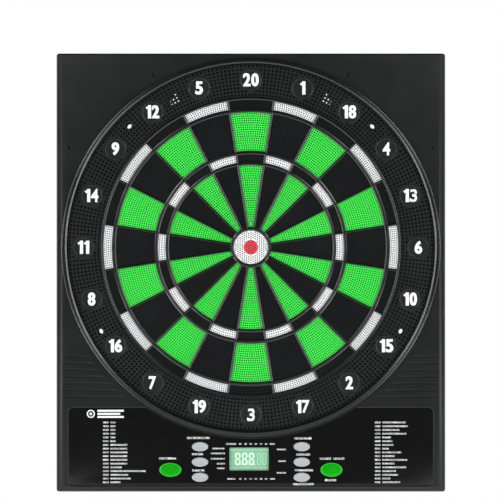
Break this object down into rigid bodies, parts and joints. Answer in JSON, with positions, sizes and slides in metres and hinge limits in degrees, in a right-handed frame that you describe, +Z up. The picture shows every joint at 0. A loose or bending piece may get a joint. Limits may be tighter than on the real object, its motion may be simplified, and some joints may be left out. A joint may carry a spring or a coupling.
{
  "type": "electronic dartboard",
  "caption": "Electronic dartboard in a flat wall cabinet: sprung scoring segments in a round target, a catch ring with the numbers, and a console with a display and push buttons.",
  "frame": {"origin": "centre of the bull's-eye, on the flat back face that lies against the wall", "axes": "+Z up, +X to the right of a player who faces the board, +Y into the wall"},
  "size_m": [0.442, 0.032, 0.4983],
  "materials": {
    "abs_black": "moulded ABS with a fine spark-eroded grain",
    "fascia_black": "gloss-laminated printed fascia",
    "segment_green": "moulded polypropylene with dart holes",
    "segment_black": "moulded polypropylene with dart holes",
    "segment_white": "moulded polypropylene with dart holes",
    "segment_red": "moulded polypropylene with dart holes",
    "button_green": "moulded, satin gloss",
    "button_grey": "moulded, satin gloss",
    "clear_lens": "clear moulded acrylic",
    "lcd_glass": "green backlit liquid-crystal glass in a frame",
    "rubber": "moulded",
    "silicone": "moulded silicone keypad",
    "film": "polyester film with printed silver tracks",
    "circuit_board": "solder-masked glass-fibre board",
    "zinc_steel": "zinc plated",
    "speaker_steel": "pressed steel basket",
    "cell_jacket": "plain printed jacket"
  },
  "bodies": {
    "cabinet": {"front_housing": "abs_black", "catch_ring": "abs_black", "spider": "abs_black", "back_cover": "abs_black", "backing_plate": "abs_black", "power_jack": "abs_black", "console_fascia": "fascia_black", "rubber_mat": "rubber", "sensor_membrane": "film", "lcd_lens": "clear_lens", "lcd_module": "lcd_glass", "keypad_left": "silicone", "keypad_right": "silicone", "main_board": "circuit_board", "speaker": "speaker_steel", "battery_contact_left": "zinc_steel", "battery_contact_right": "zinc_steel", "battery_cell_1": "cell_jacket", "battery_cell_2": "cell_jacket", "battery_cell_3": "cell_jacket", "case_screw_1": "zinc_steel", "case_screw_2": "zinc_steel", "case_screw_3": "zinc_steel", "case_screw_4": "zinc_steel", "case_screw_5": "zinc_steel", "case_screw_6": "zinc_steel"},
    "segment_20": {"segment_20": "segment_green"},
    "segment_01": {"segment_01": "segment_black"},
    "segment_18": {"segment_18": "segment_green"},
    "segment_04": {"segment_04": "segment_black"},
    "segment_13": {"segment_13": "segment_green"},
    "segment_06": {"segment_06": "segment_black"},
    "segment_10": {"segment_10": "segment_green"},
    "segment_15": {"segment_15": "segment_black"},
    "segment_02": {"segment_02": "segment_green"},
    "segment_17": {"segment_17": "segment_black"},
    "segment_03": {"segment_03": "segment_green"},
    "segment_19": {"segment_19": "segment_black"},
    "segment_07": {"segment_07": "segment_green"},
    "segment_16": {"segment_16": "segment_black"},
    "segment_08": {"segment_08": "segment_green"},
    "segment_11": {"segment_11": "segment_black"},
    "segment_14": {"segment_14": "segment_green"},
    "segment_09": {"segment_09": "segment_black"},
    "segment_12": {"segment_12": "segment_green"},
    "segment_05": {"segment_05": "segment_black"},
    "bull_outer": {"bull_outer": "segment_white"},
    "bull_inner": {"bull_inner": "segment_red"},
    "start_button_left": {"start_button_left": "button_green"},
    "option_button_left_top": {"option_button_left_top": "button_grey"},
    "option_button_left_middle": {"option_button_left_middle": "button_grey"},
    "option_button_left_bottom": {"option_button_left_bottom": "button_grey"},
    "start_button_right": {"start_button_right": "button_green"},
    "option_button_right_top": {"option_button_right_top": "button_grey"},
    "option_button_right_middle": {"option_button_right_middle": "button_grey"},
    "option_button_right_bottom": {"option_button_right_bottom": "button_grey"},
    "battery_door": {"battery_door": "abs_black"}
  },
  "joints": [
    {"name": "battery_door_hinge", "type": "hinge", "parent": "cabinet", "child": "battery_door", "pos_m": [0.1163, 0, -0.2385], "axis": [0, 0, 1], "range_deg": [0, 100]},
    {"name": "segment_20_press", "type": "slide", "parent": "cabinet", "child": "segment_20", "axis": [0, 1, 0], "range_m": [0, 0.001], "stiffness_N_per_m": 800},
    {"name": "segment_01_press", "type": "slide", "parent": "cabinet", "child": "segment_01", "axis": [0, 1, 0], "range_m": [0, 0.001], "stiffness_N_per_m": 800},
    {"name": "segment_18_press", "type": "slide", "parent": "cabinet", "child": "segment_18", "axis": [0, 1, 0], "range_m": [0, 0.001], "stiffness_N_per_m": 800},
    {"name": "segment_04_press", "type": "slide", "parent": "cabinet", "child": "segment_04", "axis": [0, 1, 0], "range_m": [0, 0.001], "stiffness_N_per_m": 800},
    {"name": "segment_13_press", "type": "slide", "parent": "cabinet", "child": "segment_13", "axis": [0, 1, 0], "range_m": [0, 0.001], "stiffness_N_per_m": 800},
    {"name": "segment_06_press", "type": "slide", "parent": "cabinet", "child": "segment_06", "axis": [0, 1, 0], "range_m": [0, 0.001], "stiffness_N_per_m": 800},
    {"name": "segment_10_press", "type": "slide", "parent": "cabinet", "child": "segment_10", "axis": [0, 1, 0], "range_m": [0, 0.001], "stiffness_N_per_m": 800},
    {"name": "segment_15_press", "type": "slide", "parent": "cabinet", "child": "segment_15", "axis": [0, 1, 0], "range_m": [0, 0.001], "stiffness_N_per_m": 800},
    {"name": "segment_02_press", "type": "slide", "parent": "cabinet", "child": "segment_02", "axis": [0, 1, 0], "range_m": [0, 0.001], "stiffness_N_per_m": 800},
    {"name": "segment_17_press", "type": "slide", "parent": "cabinet", "child": "segment_17", "axis": [0, 1, 0], "range_m": [0, 0.001], "stiffness_N_per_m": 800},
    {"name": "segment_03_press", "type": "slide", "parent": "cabinet", "child": "segment_03", "axis": [0, 1, 0], "range_m": [0, 0.001], "stiffness_N_per_m": 800},
    {"name": "segment_19_press", "type": "slide", "parent": "cabinet", "child": "segment_19", "axis": [0, 1, 0], "range_m": [0, 0.001], "stiffness_N_per_m": 800},
    {"name": "segment_07_press", "type": "slide", "parent": "cabinet", "child": "segment_07", "axis": [0, 1, 0], "range_m": [0, 0.001], "stiffness_N_per_m": 800},
    {"name": "segment_16_press", "type": "slide", "parent": "cabinet", "child": "segment_16", "axis": [0, 1, 0], "range_m": [0, 0.001], "stiffness_N_per_m": 800},
    {"name": "segment_08_press", "type": "slide", "parent": "cabinet", "child": "segment_08", "axis": [0, 1, 0], "range_m": [0, 0.001], "stiffness_N_per_m": 800},
    {"name": "segment_11_press", "type": "slide", "parent": "cabinet", "child": "segment_11", "axis": [0, 1, 0], "range_m": [0, 0.001], "stiffness_N_per_m": 800},
    {"name": "segment_14_press", "type": "slide", "parent": "cabinet", "child": "segment_14", "axis": [0, 1, 0], "range_m": [0, 0.001], "stiffness_N_per_m": 800},
    {"name": "segment_09_press", "type": "slide", "parent": "cabinet", "child": "segment_09", "axis": [0, 1, 0], "range_m": [0, 0.001], "stiffness_N_per_m": 800},
    {"name": "segment_12_press", "type": "slide", "parent": "cabinet", "child": "segment_12", "axis": [0, 1, 0], "range_m": [0, 0.001], "stiffness_N_per_m": 800},
    {"name": "segment_05_press", "type": "slide", "parent": "cabinet", "child": "segment_05", "axis": [0, 1, 0], "range_m": [0, 0.001], "stiffness_N_per_m": 800},
    {"name": "bull_outer_press", "type": "slide", "parent": "cabinet", "child": "bull_outer", "axis": [0, 1, 0], "range_m": [0, 0.001], "stiffness_N_per_m": 800},
    {"name": "bull_inner_press", "type": "slide", "parent": "cabinet", "child": "bull_inner", "axis": [0, 1, 0], "range_m": [0, 0.001], "stiffness_N_per_m": 800},
    {"name": "start_button_left_press", "type": "slide", "parent": "cabinet", "child": "start_button_left", "axis": [0, 1, 0], "range_m": [0, 0.0012], "stiffness_N_per_m": 400},
    {"name": "option_button_left_top_press", "type": "slide", "parent": "cabinet", "child": "option_button_left_top", "axis": [0, 1, 0], "range_m": [0, 0.0012], "stiffness_N_per_m": 400},
    {"name": "option_button_left_middle_press", "type": "slide", "parent": "cabinet", "child": "option_button_left_middle", "axis": [0, 1, 0], "range_m": [0, 0.0012], "stiffness_N_per_m": 400},
    {"name": "option_button_left_bottom_press", "type": "slide", "parent": "cabinet", "child": "option_button_left_bottom", "axis": [0, 1, 0], "range_m": [0, 0.0012], "stiffness_N_per_m": 400},
    {"name": "start_button_right_press", "type": "slide", "parent": "cabinet", "child": "start_button_right", "axis": [0, 1, 0], "range_m": [0, 0.0012], "stiffness_N_per_m": 400},
    {"name": "option_button_right_top_press", "type": "slide", "parent": "cabinet", "child": "option_button_right_top", "axis": [0, 1, 0], "range_m": [0, 0.0012], "stiffness_N_per_m": 400},
    {"name": "option_button_right_middle_press", "type": "slide", "parent": "cabinet", "child": "option_button_right_middle", "axis": [0, 1, 0], "range_m": [0, 0.0012], "stiffness_N_per_m": 400},
    {"name": "option_button_right_bottom_press", "type": "slide", "parent": "cabinet", "child": "option_button_right_bottom", "axis": [0, 1, 0], "range_m": [0, 0.0012], "stiffness_N_per_m": 400}
  ]
}
